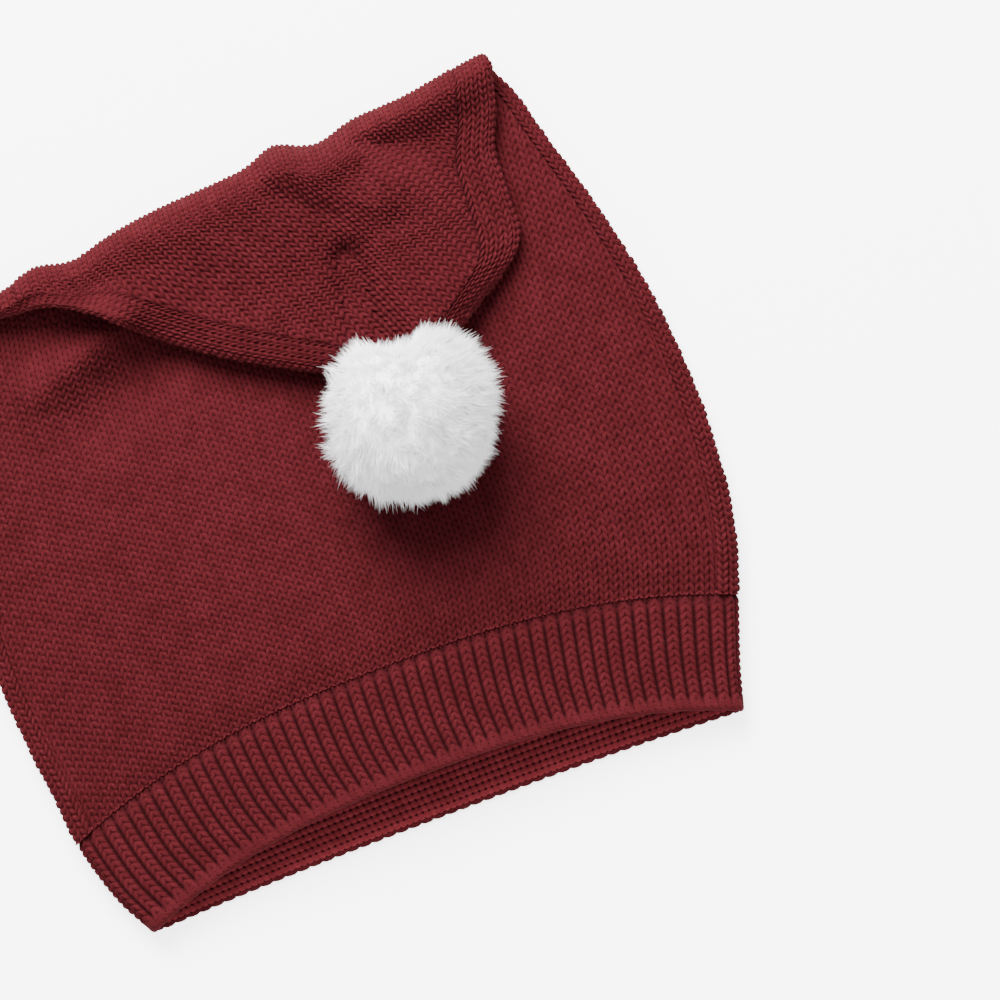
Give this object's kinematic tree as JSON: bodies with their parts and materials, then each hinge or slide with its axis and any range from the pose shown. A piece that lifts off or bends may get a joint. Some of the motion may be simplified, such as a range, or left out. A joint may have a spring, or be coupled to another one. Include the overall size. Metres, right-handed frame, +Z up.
{
  "type": "knitted santa hat",
  "caption": "Knitted santa hat lying flat, ribbed cuff open at the head end, tail folded forward over the front with a fur pompom on its tip.",
  "frame": {"origin": "on the surface the hat lies on, under the middle of its outline", "axes": "+X across the hat towards the wearer's left as it lies, +Y from the mouth to the fold, +Z up out of the front panel"},
  "size_m": [0.2278, 0.2128, 0.0614],
  "materials": {
    "red_knit": "matt machine knit",
    "white_pile": "soft faux fur"
  },
  "bodies": {
    "root": {"crown": "red_knit", "rib_cuff": "red_knit", "pompom": "white_pile"}
  },
  "joints": []
}
